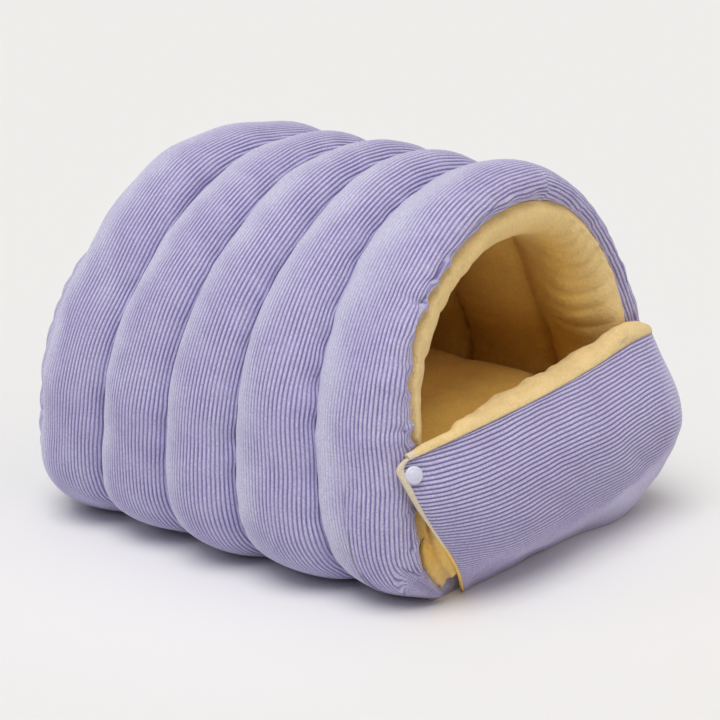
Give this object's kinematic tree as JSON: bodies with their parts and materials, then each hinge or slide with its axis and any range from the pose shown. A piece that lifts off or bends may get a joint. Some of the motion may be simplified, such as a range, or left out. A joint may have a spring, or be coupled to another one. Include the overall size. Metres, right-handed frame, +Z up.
{
  "type": "pet cave bed",
  "caption": "Padded corduroy pet cave bed: a channelled, fleece-lined tunnel with a floor cushion and a low padded flap across its mouth.",
  "frame": {"origin": "on the floor, under the middle of the bed's outer box", "axes": "+Z up, +Y along the tunnel from its mouth to its closed back, +X to the right of someone who looks into the mouth"},
  "size_m": [0.3848, 0.4304, 0.309],
  "materials": {
    "corduroy": "wide-wale cotton corduroy, lilac, matte",
    "fleece": "short-pile fleece, warm yellow, matte",
    "base_cloth": "lilac corduroy, matte",
    "snap_plastic": "moulded, satin gloss"
  },
  "bodies": {
    "root": {"tunnel_shell": "corduroy", "tunnel_lining": "fleece", "back_panel": "corduroy", "back_lining": "fleece", "base_pad": "base_cloth", "floor_cushion": "fleece", "front_flap": "corduroy", "flap_lining": "fleece", "snap_cap": "snap_plastic"}
  },
  "joints": []
}
